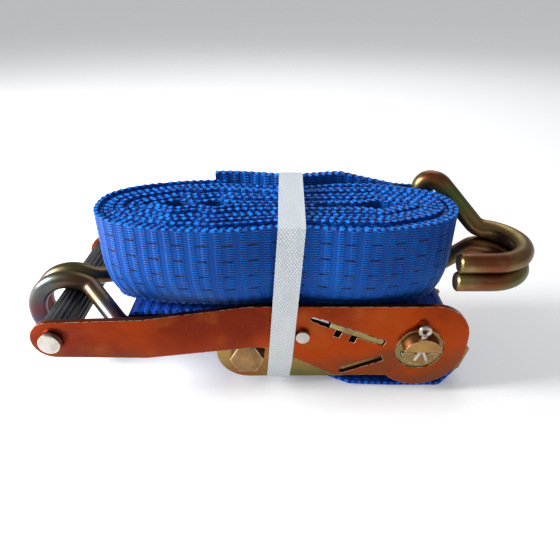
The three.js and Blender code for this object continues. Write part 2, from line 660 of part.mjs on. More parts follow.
const hookLap = ribbon([
  inFrame(shortBar.x + LOOP_R, shortBar.y, OUTSIDE, HOOK_END_WIDTH),
  inFrame(shortBar.x + LOOP_R + 2.2, sewn(shortBar.x + LOOP_R + 2.2).v - 0.6, OUTSIDE, HOOK_END_WIDTH),
  sewn(shortBar.x + 14),
  sewn(shortBar.x + 34),
], WEB_THICK, placeStrap);
const barClear = rod(shortBar.x, shortBar.y, WIRE_R + 0.35, -60, 60);
const shortStrap = mainRun.add(eyeEnd).add(hookLoop).add(hookLap).subtract(barClear);
add('short_strap', shortStrap, 0x1668c8, 0.85, 0);

// ---- rolled long strap ----
const ROLL = { x: -73.85, y: -16.5, power: 2.6 };
const ROLL_FRONT_TOP = 70;
const ROLL_BACK_TOP = 73;
const WAIST = { x: -67, depth: 0.2, reach: 20 };
const rollHalfX = ROLL_LENGTH / 2;
const rollHalfY = ROLL_DEPTH / 2;
const rollBack = ROLL.y + rollHalfY;

function rollHalfDepth(x, share) {
  const waist = 1 - WAIST.depth * Math.exp(-(((x - WAIST.x) / WAIST.reach) ** 2));
  return rollHalfY * waist * (1 - share ** ROLL.power) ** (1 / ROLL.power);
}

/** One level of the roll: squeeze moves its front in, shorten its two ends. */
function rollRing(height, squeeze, shorten) {
  const count = 80;
  return Array.from({ length: count }, (_, i) => {
    const angle = (i / count) * 2 * Math.PI;
    const x = ROLL.x + Math.cos(angle) * rollHalfX * shorten;
    const half = rollHalfDepth(x, Math.abs(Math.cos(angle)));
    const y = Math.sin(angle) >= 0 ? ROLL.y + half : ROLL.y + half - 2 * half * squeeze;
    return vector(x, y, height + (height < ROLL_FRONT_TOP ? 0 : (ROLL_BACK_TOP - ROLL_FRONT_TOP)
      * ((y - (rollBack - ROLL_DEPTH)) / ROLL_DEPTH)));
  });
}

const fullDepth = (front) => (rollBack - front) / ROLL_DEPTH;
const roll = loft([
  rollRing(ROLL_BOTTOM, fullDepth(-34.5), 0.95),
  rollRing(26, fullDepth(-35.2), 0.96),
  rollRing(31, fullDepth(-40.5), 0.98),
  rollRing(44, 1, 1),
  rollRing(ROLL_FRONT_TOP, 1, 1),
]);
add('long_strap_roll', roll, 0x1668c8, 0.85, 0);

// ---- its free end, doubled and sewn, round the long hook's cross bar ----
const TAIL_LOW = 25.5;
const TAIL_FROM = -107;
const TAIL_LEAVES = -40;
const LOOP_LOW = LONG_BAR.z - HOOK_END_WIDTH / 2;
const tailAt = (x, y, t) => ({
  u: x,
  v: y,
  low: TAIL_LOW + (LOOP_LOW - TAIL_LOW) * t,
  high: TAIL_LOW + WEB_WIDTH + (LOOP_LOW + HOOK_END_WIDTH - TAIL_LOW - WEB_WIDTH) * t,
});
const tailSteps = 24;
const alongBack = Array.from({ length: tailSteps + 1 }, (_, i) => {
  const x = TAIL_FROM + ((TAIL_LEAVES - TAIL_FROM) * i) / tailSteps;
  const share = Math.abs((x - ROLL.x) / rollHalfX);
  return tailAt(x, ROLL.y + rollHalfDepth(x, share) + GAP + 0.3 + WEB_THICK, 0);
});
const lastAlong = alongBack[alongBack.length - 1];
const loopMouth = tailAt(LONG_BAR.x - LOOP_R, LONG_BAR.y + 1, 1);
const tailRun = ribbon([...alongBack, ...between(lastAlong, loopMouth, 3), loopMouth], 2 * WEB_THICK,
  (u, v, w) => vector(u, v, w));
function upright(radius, low, high) {
  const geometry = new THREE.CylinderGeometry(radius, radius, high - low, 32);
  geometry.rotateX(Math.PI / 2);
  geometry.translate(LONG_BAR.x, LONG_BAR.y, (low + high) / 2);
  return solid(geometry);
}
const tail = tailRun.add(upright(LOOP_R + WEB_THICK / 2, LOOP_LOW, LOOP_LOW + HOOK_END_WIDTH))
  .subtract(upright(WIRE_R + 0.35, 0, 100));
add('long_strap_end', tail, 0x0f3f8f, 0.85, 0);

// ---- band that holds the roll to the ratchet ----
const BAND = { x: -71.3, z: 8.7, slope: 0.065 };
const bandCorners = [
  flat(-43.0, 44),
  flat(-HANDLE_OUT, -6.6),
  flat(-FRAME_OUT, ANCHOR.z - BULGE_R),
  flat(FRAME_OUT, ANCHOR.z - BULGE_R),
  flat(HANDLE_OUT, -6.6),
  flat(HANDLE_OUT, HANDLE_TOP),
  flat(15, TAIL_LOW + WEB_WIDTH),
  flat(9.5, TAIL_LOW + WEB_WIDTH),
  flat(-43.0, ROLL_FRONT_TOP + 0.3),
];

/** Outline at an even distance round convex corners. */
function around(corners, distance) {
  return corners.flatMap((corner, i) => {
    const before = corners[(i + corners.length - 1) % corners.length];
    const after = corners[(i + 1) % corners.length];
    const normal = (a, b) => Math.atan2(-(b.x - a.x), b.y - a.y);
    const from = normal(before, corner);
    let to = normal(corner, after);
    if (to < from - 1e-9) {
      to += 2 * Math.PI;
    }
    return arc(corner.x, corner.y, distance, THREE.MathUtils.radToDeg(from), THREE.MathUtils.radToDeg(to), 2);
  });
}

const bandOutline = new THREE.Shape(around(bandCorners, GAP + BAND_THICK));
bandOutline.holes.push(new THREE.Path(around(bandCorners, GAP)));
const bandShape = new THREE.ExtrudeGeometry(bandOutline, { depth: BAND_WIDTH, bevelEnabled: false });
bandShape.applyMatrix4(new THREE.Matrix4().makeBasis(vector(0, 1, 0), vector(0, 0, 1), vector(1, 0, 0)));
const bandSlant = new THREE.Matrix4();
bandSlant.set(1, 0, BAND.slope, 0, 0, 1, 0, 0, 0, 0, 1, 0, 0, 0, 0, 1);
bandShape.applyMatrix4(bandSlant);
bandShape.translate(BAND.x - BAND_WIDTH / 2 - BAND.slope * BAND.z, 0, 0);
const band = solid(bandShape);
add('band', band, 0xe6eae8, 0.5, 0);

// ---- stand the part with its box's bottom centre at the origin ----
const box = new THREE.Box3().setFromObject(part);
const middle = box.getCenter(vector(0, 0, 0));
part.position.set(-middle.x, -middle.y, -box.min.z);

export default part;
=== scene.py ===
# %% [markdown]
# Ratchet tie down, tied up for the shelf. The metal comes from the CAD frame and gets soft edges
# and a passivated finish here; the webbing, the band and the hooks are modelled afresh, because
# their real surface is far finer than a CAD solid.

# %% Load the frame
import json
import math

import bmesh
import bpy
from mathutils import Matrix, Vector


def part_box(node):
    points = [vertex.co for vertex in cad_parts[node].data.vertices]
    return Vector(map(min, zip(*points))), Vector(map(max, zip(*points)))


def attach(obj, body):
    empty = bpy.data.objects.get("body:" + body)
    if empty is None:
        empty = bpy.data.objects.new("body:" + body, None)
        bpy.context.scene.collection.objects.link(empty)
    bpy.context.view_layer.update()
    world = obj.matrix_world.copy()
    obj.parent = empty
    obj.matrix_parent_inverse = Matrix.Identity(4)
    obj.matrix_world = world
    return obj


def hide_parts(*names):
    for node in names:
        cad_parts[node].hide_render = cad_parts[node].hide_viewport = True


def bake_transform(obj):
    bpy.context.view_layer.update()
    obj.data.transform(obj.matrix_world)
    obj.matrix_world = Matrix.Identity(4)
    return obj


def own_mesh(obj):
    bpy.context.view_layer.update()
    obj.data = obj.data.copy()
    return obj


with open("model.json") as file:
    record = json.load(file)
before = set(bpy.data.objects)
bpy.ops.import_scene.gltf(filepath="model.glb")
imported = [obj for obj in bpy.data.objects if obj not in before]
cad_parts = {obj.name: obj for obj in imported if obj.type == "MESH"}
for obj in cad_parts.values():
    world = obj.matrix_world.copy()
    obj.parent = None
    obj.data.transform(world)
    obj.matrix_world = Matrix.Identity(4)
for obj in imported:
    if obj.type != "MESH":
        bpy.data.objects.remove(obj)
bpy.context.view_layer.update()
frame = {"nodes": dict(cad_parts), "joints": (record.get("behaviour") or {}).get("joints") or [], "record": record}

MM = 0.001
spindle = Vector(next(j for j in frame["joints"] if j["name"] == "frame_swing")["pos_m"])
long_bar = Vector(next(j for j in frame["joints"] if j["name"] == "long_hook_swing")["pos_m"])
short_bar = Vector(next(j for j in frame["joints"] if j["name"] == "short_hook_swing")["pos_m"])


def at(x, y, z):
    """A place in millimetres from the spindle's centre, in the frame's metres."""
    return spindle + Vector((x, y, z)) * MM


print("spindle centre", [round(v, 4) for v in spindle])

# %% [markdown]
# Every sweep and ribbon here is a grid whose vertices are laid along a path. A grid brings its own
# even rows, so the UV map can hold real metres along and across, and a weave keeps its scale.

# %% Helpers: objects from a bmesh
def link(name, bm):
    mesh = bpy.data.meshes.new(name)
    bm.to_mesh(mesh)
    bm.free()
    obj = bpy.data.objects.new(name, mesh)
    bpy.context.scene.collection.objects.link(obj)
    return obj


def smooth(obj, degrees=40):
    for polygon in obj.data.polygons:
        polygon.use_smooth = True
    obj.data.set_sharp_from_angle(angle=math.radians(degrees))


def apply_modifiers(obj):
    """Bakes the modifiers into the mesh."""
    graph = bpy.context.evaluated_depsgraph_get()
    baked = bpy.data.meshes.new_from_object(obj.evaluated_get(graph))
    obj.modifiers.clear()
    obj.data = baked


def lengths(points):
    total = [0.0]
    for a, b in zip(points, points[1:]):
        total.append(total[-1] + (b - a).length)
    return total


def grid_piece(name, columns, rows, place, uv_at, closed_rows=False):
    """A grid of columns x rows points: place(i, j) is the point, uv_at(i, j) its UV in metres."""
    bm = bmesh.new()
    bmesh.ops.create_grid(bm, x_segments=columns - 1, y_segments=rows - 1, size=0.5)
    layer = bm.loops.layers.uv.new("UVMap")
    spot = {}
    for v in bm.verts:
        spot[v] = (round((v.co.x + 0.5) * (columns - 1)), round((v.co.y + 0.5) * (rows - 1)))
    for face in bm.faces:
        for loop in face.loops:
            loop[layer].uv = uv_at(*spot[loop.vert])
    for v, (i, j) in spot.items():
        v.co = place(i, j)
    if closed_rows:
        bmesh.ops.remove_doubles(bm, verts=bm.verts, dist=1e-6)
        bmesh.ops.holes_fill(bm, edges=[e for e in bm.edges if e.is_boundary], sides=0)
        bmesh.ops.recalc_face_normals(bm, faces=bm.faces)
    return link(name, bm)


def sweep(name, points, radius, around=24, end_round=0.0008):
    """A round bar along points, its two ends slightly rounded."""
    def step_in(a, b, distance):
        return a + (b - a).normalized() * distance
    path = [points[0], step_in(points[0], points[1], end_round), *points[1:-1],
            step_in(points[-1], points[-2], end_round), points[-1]]
    radii = [radius - end_round] + [radius] * (len(path) - 2) + [radius - end_round]
    along = lengths(path)
    tangents = []
    for i, p in enumerate(path):
        before = path[max(i - 1, 0)]
        after = path[min(i + 1, len(path) - 1)]
        tangents.append((after - before).normalized())
    normal = tangents[0].orthogonal().normalized()
    normals = []
    for tangent in tangents:
        normal = (normal - tangent * normal.dot(tangent)).normalized()
        normals.append(normal)

    def place(i, j):
        angle = 2 * math.pi * (j % around) / around
        side = tangents[i].cross(normals[i])
        return path[i] + (normals[i] * math.cos(angle) + side * math.sin(angle)) * radii[i]

    obj = grid_piece(name, len(path), around + 1, place,
                     lambda i, j: (along[i], 2 * math.pi * radius * j / around), closed_rows=True)
    smooth(obj)
    return obj


def fillet(corners, radii, step=8):
    """Rounds corner i of a line of points with radii[i]; 0 keeps it sharp."""
    points = []
    for i, corner in enumerate(corners):
        if not radii[i]:
            points.append(corner.copy())
            continue
        back = (corners[i - 1] - corner).normalized()
        on = (corners[i + 1] - corner).normalized()
        turn = math.pi - back.angle(on)
        centre = corner + (back + on).normalized() * radii[i] / math.cos(turn / 2)
        reach = radii[i] * math.tan(turn / 2)
        first = corner + back * reach - centre
        last = corner + on * reach - centre
        axis = first.cross(last).normalized()
        count = max(2, math.ceil(math.degrees(turn) / step))
        for s in range(count + 1):
            points.append(centre + Matrix.Rotation(turn * s / count, 3, axis) @ first)
    return points


def resample(points, count):
    """Equally spaced points along a line, as many as asked."""
    along = lengths(points)
    out = []
    k = 0
    for i in range(count):
        goal = along[-1] * i / (count - 1)
        while k < len(points) - 2 and along[k + 1] < goal:
            k += 1
        share = (goal - along[k]) / (along[k + 1] - along[k])
        out.append(points[k].lerp(points[k + 1], min(max(share, 0.0), 1.0)))
    return out


# %% [markdown]
# Node groups. A small wiring helper keeps each one readable: value(op, a, b) adds a Math node and
# gives back its output socket.

# %% Helpers: nodes
class Wiring:
    def __init__(self, tree):
        self.tree = tree

    def node(self, kind, **settings):
        node = self.tree.nodes.new(kind)
        for key, value in settings.items():
            setattr(node, key, value)
        return node

    def join(self, source, target):
        if isinstance(source, bpy.types.NodeSocket):
            self.tree.links.new(source, target)
        else:
            target.default_value = source

    def value(self, op, a, b=0.0, c=None, clamp=False):
        node = self.node("ShaderNodeMath", operation=op, use_clamp=clamp)
        self.join(a, node.inputs[0])
        self.join(b, node.inputs[1])
        if c is not None:
            self.join(c, node.inputs[2])
        return node.outputs[0]

    def mix(self, factor, a, b, blend="MIX"):
        node = self.node("ShaderNodeMix", data_type="RGBA", blend_type=blend)
        self.join(factor, node.inputs[0])
        self.join(a, node.inputs[6])
        self.join(b, node.inputs[7])
        return node.outputs[2]

    def noise(self, vector, scale, detail=3.0, roughness=0.5):
        node = self.node("ShaderNodeTexNoise")
        self.join(vector, node.inputs["Vector"])
        node.inputs["Scale"].default_value = scale
        node.inputs["Detail"].default_value = detail
        node.inputs["Roughness"].default_value = roughness
        return node.outputs["Fac"]

    def stretch(self, vector, scale):
        node = self.node("ShaderNodeMapping")
        self.join(vector, node.inputs["Vector"])
        node.inputs["Scale"].default_value = scale
        return node.outputs["Vector"]

    def window(self, value, low, high):
        """0 below low, 1 above high, smooth between."""
        node = self.node("ShaderNodeMapRange", interpolation_type="SMOOTHSTEP")
        self.join(value, node.inputs["Value"])
        self.join(low, node.inputs["From Min"])
        self.join(high, node.inputs["From Max"])
        return node.outputs["Result"]


def new_group(name, inputs, outputs):
    tree = bpy.data.node_groups.new(name, "ShaderNodeTree")
    for label, kind, default in inputs:
        socket = tree.interface.new_socket(label, in_out="INPUT", socket_type=kind)
        if default is not None:
            socket.default_value = default
    for label, kind in outputs:
        tree.interface.new_socket(label, in_out="OUTPUT", socket_type=kind)
    wiring = Wiring(tree)
    return wiring, wiring.node("NodeGroupInput"), wiring.node("NodeGroupOutput")


# %% [markdown]
# Zinc plate that is chromate dipped shows brown, copper, straw and olive in soft clouds. The group
# mixes four such colours by two noises, lays fine drawn scratches over them and brightens the edges
# that an "edge" attribute marks.

# %% Passivated steel group
COLOUR = "NodeSocketColor"
FLOAT = "NodeSocketFloat"
VECTOR = "NodeSocketVector"


def passivated_group():
    w, inside, out = new_group(
        "Passivated steel",
        [("Vector", VECTOR, None), ("Edge", FLOAT, 0.0), ("Brown", COLOUR, (0.3, 0.08, 0.03, 1)),
         ("Copper", COLOUR, (0.5, 0.17, 0.06, 1)), ("Straw", COLOUR, (0.55, 0.36, 0.12, 1)),
         ("Olive", COLOUR, (0.2, 0.22, 0.09, 1)), ("Cloud scale", FLOAT, 28.0),
         ("Olive share", FLOAT, 0.5), ("Scratch", FLOAT, 0.5)],
        [("Color", COLOUR), ("Roughness", FLOAT), ("Height", FLOAT)])
    place = inside.outputs["Vector"]
    cloud = w.node("ShaderNodeTexNoise")
    w.join(place, cloud.inputs["Vector"])
    w.join(inside.outputs["Cloud scale"], cloud.inputs["Scale"])
    cloud.inputs["Detail"].default_value = 4.0
    clouds = w.window(cloud.outputs["Fac"], 0.38, 0.62)
    warm = w.mix(clouds, inside.outputs["Brown"], inside.outputs["Copper"])
    patches = w.noise(place, 55.0, 5.0)
    straw = w.mix(w.value("MULTIPLY", w.window(patches, 0.5, 0.8), 0.7), warm, inside.outputs["Straw"])
    olive_cloud = w.noise(w.stretch(place, (0.8, 1.0, 1.6)), 17.0, 3.0)
    olive_share = w.value("MULTIPLY", w.window(olive_cloud, 0.48, 0.68), inside.outputs["Olive share"])
    base = w.mix(olive_share, straw, inside.outputs["Olive"])
    lines = w.noise(w.stretch(place, (40.0, 300.0, 900.0)), 3.0, 6.0, 0.7)
    marks = w.noise(w.stretch(place, (900.0, 300.0, 60.0)), 2.0, 4.0, 0.6)
    scratch = w.value("MAXIMUM", w.window(lines, 0.6, 0.72), w.window(marks, 0.66, 0.74))
    scratch = w.value("MULTIPLY", scratch, inside.outputs["Scratch"])
    bright = w.mix(w.value("MULTIPLY", scratch, 0.45), base, (0.78, 0.66, 0.5, 1))
    rub = w.noise(place, 420.0, 3.0)
    worn = w.value("MULTIPLY", inside.outputs["Edge"], w.window(rub, 0.35, 0.6))
    w.join(w.mix(w.value("MULTIPLY", worn, 0.7), bright, (0.82, 0.7, 0.52, 1)), out.inputs["Color"])
    grime = w.noise(place, 160.0, 5.0)
    rough = w.value("MULTIPLY_ADD", grime, 0.3, 0.2)
    w.join(w.value("MULTIPLY_ADD", scratch, -0.1, rough), out.inputs["Roughness"])
    grain = w.noise(place, 900.0, 2.0)
    dents = w.value("MULTIPLY_ADD", grain, 0.25, w.value("MULTIPLY", scratch, -0.6))
    w.join(dents, out.inputs["Height"])
    return w.tree


PASSIVATED = passivated_group()


STEEL_RELIEF = 0.03 * MM


def steel(name, colours, cloud=28.0, olive=0.5, scratch=0.5, metallic=1.0):
    """One finish of the steel group: colours are brown, copper, straw and olive."""
    material = bpy.data.materials.new(name)
    material.use_nodes = True
    w = Wiring(material.node_tree)
    shader = material.node_tree.nodes["Principled BSDF"]
    group = w.node("ShaderNodeGroup", node_tree=PASSIVATED)
    coords = w.node("ShaderNodeTexCoord")
    w.join(coords.outputs["Object"], group.inputs["Vector"])
    edge = w.node("ShaderNodeAttribute", attribute_name="edge")
    w.join(edge.outputs["Fac"], group.inputs["Edge"])
    for label, colour in zip(("Brown", "Copper", "Straw", "Olive"), colours):
        group.inputs[label].default_value = (*colour, 1)
    group.inputs["Cloud scale"].default_value = cloud
    group.inputs["Olive share"].default_value = olive
    group.inputs["Scratch"].default_value = scratch
    w.join(group.outputs["Color"], shader.inputs["Base Color"])
    w.join(group.outputs["Roughness"], shader.inputs["Roughness"])
    shader.inputs["Metallic"].default_value = metallic
    relief = w.node("ShaderNodeBump")
    relief.inputs["Distance"].default_value = STEEL_RELIEF
    relief.inputs["Strength"].default_value = 1.0
    w.join(group.outputs["Height"], relief.inputs["Height"])
    w.join(relief.outputs["Normal"], shader.inputs["Normal"])
    return material


HANDLE_STEEL = steel("handle steel", [(0.15, 0.018, 0.007), (0.33, 0.044, 0.006), (0.3, 0.09, 0.02),
                                      (0.1, 0.045, 0.02)], 13.0, 0.65, 0.16)
FRAME_STEEL = steel("frame steel", [(0.3, 0.09, 0.03), (0.36, 0.17, 0.05), (0.3, 0.24, 0.08),
                                    (0.11, 0.14, 0.045)], 26.0, 0.75, 0.25)
WHEEL_STEEL = steel("wheel steel", [(0.24, 0.12, 0.04), (0.36, 0.22, 0.07), (0.45, 0.4, 0.14),
                                    (0.15, 0.22, 0.07)], 60.0, 0.7, 0.3)
SPINDLE_STEEL = steel("spindle steel", [(0.26, 0.13, 0.05), (0.42, 0.24, 0.08), (0.6, 0.48, 0.2),
                                        (0.2, 0.22, 0.07)], 60.0, 0.5, 0.35)
PAWL_STEEL = steel("pawl steel", [(0.22, 0.14, 0.05), (0.34, 0.26, 0.1), (0.5, 0.46, 0.2),
                                  (0.15, 0.2, 0.07)], 50.0, 0.6, 0.3)
BOLT_STEEL = steel("bolt steel", [(0.2, 0.11, 0.045), (0.34, 0.2, 0.08), (0.48, 0.42, 0.2),
                                  (0.14, 0.18, 0.06)], 70.0, 0.6, 0.35)
ZINC = steel("bright zinc", [(0.4, 0.37, 0.33), (0.52, 0.49, 0.45), (0.68, 0.65, 0.6),
                             (0.42, 0.43, 0.4)], 120.0, 0.3, 0.4, 0.95)
HOOK_STEEL = steel("hook wire", [(0.17, 0.05, 0.02), (0.22, 0.14, 0.05), (0.3, 0.28, 0.11),
                                 (0.06, 0.12, 0.035)], 42.0, 0.75, 0.2, 0.92)
HOOK_STEEL_BLUE = steel("hook wire blued", [(0.13, 0.03, 0.015), (0.09, 0.07, 0.03), (0.05, 0.13, 0.17),
                                            (0.01, 0.06, 0.13)], 36.0, 0.75, 0.2, 0.92)
print("steel finishes made")

# %% [markdown]
# Polyester webbing. Warp ribs run along it, a stack of weft picks shows between them, and dark marker threads
# surface in five rows as short dashes. The blue is given as a lit tone and a shaded tone of one dye. The picks are
# painted towards the lit tone as painted highlights, and the gaps between picks towards the shaded tone as painted
# shade. The braided rims alternate the two tones as painted light and shade. UV holds metres, so each pitch is a
# real size.

# %% Webbing group and materials
RIB = 5.6 * MM
PICK = 1.3 * MM
DASH_PITCH = 2 * RIB
DASH_ROW = 8.6 * MM
WEB_WIDTH = 50 * MM


def webbing_group():
    # the first two colours are one blue as lit and as in shade: painted light and shade
    w, inside, out = new_group(
        "Webbing weave",
        [("UV", VECTOR, None), ("Light", COLOUR, (0.02, 0.25, 0.85, 1)),
         ("Shaded tone", COLOUR, (0.005, 0.06, 0.45, 1)), ("Thread", COLOUR, (0.004, 0.006, 0.03, 1))],
        [("Color", COLOUR), ("Roughness", FLOAT), ("Height", FLOAT)])
    split = w.node("ShaderNodeSeparateXYZ")
    w.join(inside.outputs["UV"], split.inputs[0])
    along, across = split.outputs[0], split.outputs[1]
    wander = w.noise(inside.outputs["UV"], 90.0, 2.0)
    along_soft = w.value("MULTIPLY_ADD", w.value("SUBTRACT", wander, 0.5), 1.2 * MM, along)

    def wave(value, period, phase=0.0):
        turn = w.value("MULTIPLY_ADD", value, 2 * math.pi / period, phase)
        return w.value("MULTIPLY_ADD", w.value("SINE", turn), 0.5, 0.5)

    rib = wave(along_soft, RIB)
    second = wave(along_soft, DASH_PITCH, 0.8)
    picks = wave(across, PICK)
    picks_shifted = wave(across, PICK, math.pi)
    which = w.window(second, 0.45, 0.55)
    pick = w.value("ADD", w.value("MULTIPLY", picks, which),
                   w.value("MULTIPLY", picks_shifted, w.value("SUBTRACT", 1.0, which)))
    column = w.window(rib, 0.2, 0.85)
    weave = w.value("MULTIPLY", column, w.value("MULTIPLY_ADD", pick, 0.75, 0.25))
    yarn = w.noise(w.stretch(inside.outputs["UV"], (900.0, 4200.0, 1.0)), 1.0, 3.0)
    height = w.value("MULTIPLY_ADD", yarn, 0.22, weave)
    centre = w.value("SUBTRACT", across, WEB_WIDTH / 2)
    row = w.value("ABSOLUTE", w.value("SUBTRACT", w.value("FRACT", w.value(
        "MULTIPLY_ADD", centre, 1 / DASH_ROW, 0.5)), 0.5))
    in_row = w.value("SUBTRACT", 1.0, w.window(row, 0.03, 0.055))
    inner = w.value("LESS_THAN", w.value("ABSOLUTE", centre), 21 * MM)
    step = w.value("ABSOLUTE", w.value("SUBTRACT", w.value("FRACT", w.value(
        "MULTIPLY", along_soft, 1 / DASH_PITCH)), 0.5))
    in_dash = w.value("SUBTRACT", 1.0, w.window(step, 0.17, 0.24))
    dash = w.value("MULTIPLY", w.value("MULTIPLY", in_row, inner), in_dash)
    # the picks are painted towards the lit tone as painted highlights; the gaps between picks are painted towards
    # the shaded tone as painted shade
    pick_highlight = w.value("MULTIPLY", column, w.window(pick, 0.45, 0.95))
    between = w.value("MULTIPLY", column, w.value("SUBTRACT", 1.0, w.window(pick, 0.05, 0.4)))
    cloth = w.value("MULTIPLY_ADD", w.noise(inside.outputs["UV"], 26.0, 3.0), 0.4, 0.03)
    shaded = w.value("MULTIPLY_ADD", between, -0.22, cloth)
    shade = w.value("MULTIPLY_ADD", pick_highlight, 0.55, shaded, clamp=True)
    blue = w.mix(shade, inside.outputs["Shaded tone"], inside.outputs["Light"])
    rim = w.window(w.value("ABSOLUTE", centre), WEB_WIDTH / 2 - 0.7 * MM, WEB_WIDTH / 2)
    # along the rims the lit and shaded tones alternate step by step: painted light and shade on the braid
    braid = wave(along, 3.6 * MM)
    braid_light_and_shade = w.mix(w.window(braid, 0.25, 0.75), inside.outputs["Shaded tone"], inside.outputs["Light"])
    blue = w.mix(rim, blue, braid_light_and_shade)
    w.join(w.mix(dash, blue, inside.outputs["Thread"]), out.inputs["Color"])
    w.join(w.value("MULTIPLY_ADD", weave, -0.18, 0.62), out.inputs["Roughness"])
    w.join(w.value("MULTIPLY_ADD", dash, -0.5, height), out.inputs["Height"])
    return w.tree


WEAVE = webbing_group()


def webbing_material(name, light, shaded_tone):
    material = bpy.data.materials.new(name)
    material.use_nodes = True
    w = Wiring(material.node_tree)
    shader = material.node_tree.nodes["Principled BSDF"]
    group = w.node("ShaderNodeGroup", node_tree=WEAVE)
    w.join(w.node("ShaderNodeUVMap", uv_map="UVMap").outputs[0], group.inputs["UV"])
    # the two colours given are one blue as lit and as in shade: painted light and shade
    group.inputs["Light"].default_value = (*light, 1)
    group.inputs["Shaded tone"].default_value = (*shaded_tone, 1)
    w.join(group.outputs["Color"], shader.inputs["Base Color"])
    w.join(group.outputs["Roughness"], shader.inputs["Roughness"])
    shader.inputs["Specular IOR Level"].default_value = 0.15
    relief = w.node("ShaderNodeBump")
    relief.inputs["Distance"].default_value = 0.0005
    relief.inputs["Strength"].default_value = 1.0
    w.join(group.outputs["Height"], relief.inputs["Height"])
    w.join(relief.outputs["Normal"], shader.inputs["Normal"])
    return material


# lit and shaded tones of each webbing's blue: painted light and shade
BLUE = webbing_material("blue webbing", (0.0005, 0.2, 0.78), (0.0002, 0.009, 0.14))
# the short strap gets the same blue made darker and more navy: painted shade for a strap that lies mostly under
# the frame and the roll
SHADED_WEBBING = webbing_material("strap webbing, painted shade", (0.001, 0.12, 0.66), (0.0003, 0.014, 0.2))
print("webbing made")

# %% [markdown]
# The roll is one strap wound twelve times into a flat oval and pinched by the band. Each turn lies
# just inside the last, so the path is a spiral that shrinks as it turns. The layers close up on a
# core that opens into three small eyes, two left of the band and one right of it. A spiral with real
# gaps is used instead of a block with lines on it, because light falls between the layers.

# %% The rolled strap
ROLL_CENTRE = (-73.85, -16.5)
ROLL_HALF = (86.85, 31.5)
ROLL_POWER = 2.6
ROLL_LOW = 23.5
ROLL_HIGH = 70.0
ROLL_START = 0.3
TURNS = 12
LAYER_END = 2.3
END_SLACK = 0.6
DENSE_STEPS = 9000
STRAP_THICK = 1.85
ROLL_STATIONS = 1900
EYES = [(-123, 5.0, 7.0), (-104, 3.2, 6.0), (-24, 4.6, 6.0)]


def roll_levels():
    """(share of the height, how far the front is drawn in, how far the ends are drawn in)."""
    drawn_in = [(0.0, 0.786, 0.95), (0.05, 0.797, 0.96), (0.1, 0.84, 0.97), (0.16, 0.881, 0.98),
                (0.28, 0.95, 0.99)]
    upright = [(share, 1.0, 1.0) for share in (0.44, 0.62, 0.8, 0.97, 1.0)]
    return drawn_in + upright


def waist(x):
    return 1 - 0.2 * math.exp(-(((x + 67) / 20) ** 2))


def roll_point(turn):
    """The strap's middle, `turn` turns in, at the top of the roll."""
    angle = 2 * math.pi * turn
    depth = turn - ROLL_START + 0.5
    half_x = ROLL_HALF[0] - (depth - END_SLACK) * LAYER_END
    x = ROLL_CENTRE[0] + math.cos(angle) * half_x
    share = min(abs(math.cos(angle)), 1.0)
    core = 1.0 + sum(tall * math.exp(-(((x - place) / wide) ** 2)) for place, tall, wide in EYES)
    outer = ROLL_HALF[1] * waist(x)
    half_y = outer + (core - outer) * depth / TURNS
    oval = (1 - share ** ROLL_POWER) ** (1 / ROLL_POWER)
    y = ROLL_CENTRE[1] + math.copysign(half_y * oval, math.sin(angle))
    return x, y


def roll_back(x):
    share = min(abs((x - ROLL_CENTRE[0]) / ROLL_HALF[0]), 1.0)
    return ROLL_CENTRE[1] + ROLL_HALF[1] * waist(x) * (1 - share ** ROLL_POWER) ** (1 / ROLL_POWER)


def make_roll():
    # the strap starts at the back, where the doubled end takes over, and winds in
    dense = [Vector((*roll_point(ROLL_START + (TURNS - 0.5) * i / DENSE_STEPS), 0.0))
             for i in range(DENSE_STEPS + 1)]
    line = resample(dense, ROLL_STATIONS)
    total = lengths(line)[-1] * MM
    levels = roll_levels()
    lift = [0.9 * math.sin(i * 0.021) + 0.5 * math.sin(i * 0.0073 + 2) for i in range(ROLL_STATIONS)]

    def place(i, j):
        share, squeeze, shorten = levels[j]
        x, y = line[i].x, line[i].y
        tilt = 3.0 * (y + 48) / 63
        low = ROLL_LOW + 0.6 + 0.25 * lift[i]
        high = ROLL_HIGH + tilt - 1.0 + 0.8 * lift[i]
        back = roll_back(x)
        return at(ROLL_CENTRE[0] + (x - ROLL_CENTRE[0]) * shorten, back - (back - y) * squeeze,
                  low + (high - low) * share)

    def uv_at(i, j):
        return (total * i / (ROLL_STATIONS - 1), WEB_WIDTH * (1 - levels[j][0]))

    obj = grid_piece("rolled_strap", ROLL_STATIONS, len(levels), place, uv_at)
    return obj, total


def thicken(obj, thick, braid=0.0):
    """Gives a ribbon its thickness and lifts every other step of its two edges, as a selvage."""
    count = len(obj.data.vertices)
    solid = obj.modifiers.new("thickness", "SOLIDIFY")
    solid.thickness = thick * MM
    solid.offset = 0.0
    apply_modifiers(obj)
    if braid:
        edge = set()
        bm = bmesh.new()
        bm.from_mesh(obj.data)
        bm.verts.ensure_lookup_table()
        layer = bm.loops.layers.uv["UVMap"]
        for face in bm.faces:
            for loop in face.loops:
                v = loop[layer].uv.y
                if v < 1e-5 or v > WEB_WIDTH - 1e-5:
                    edge.add((loop.vert, round(loop[layer].uv.x / (1.9 * MM)), v > WEB_WIDTH / 2))
        for vert, step, far in edge:
            other = vert.index >= count
            sign = -1 if far else 1
            vert.co.z += sign * braid * MM * ((step + other) % 2)
        bm.to_mesh(obj.data)
        bm.free()
    smooth(obj, 60)


rolled, rolled_length = make_roll()
thicken(rolled, STRAP_THICK, 0.5)
rolled.data.materials.append(BLUE)
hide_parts("long_strap_roll")
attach(rolled, "long_strap")
print("rolled strap", round(rolled_length, 3), "m,", len(rolled.data.polygons), "faces")

# %% [markdown]
# The free end leaves the roll at the back, passes round the long hook's cross bar and comes back
# on itself, where it is sewn. One ribbon makes both layers.

# %% The doubled end and its loop
WIRE_R = 4.75
LOOP_R = WIRE_R + 0.35 + 1.2
LOOP_WIDTH = 45.0 - 1.5


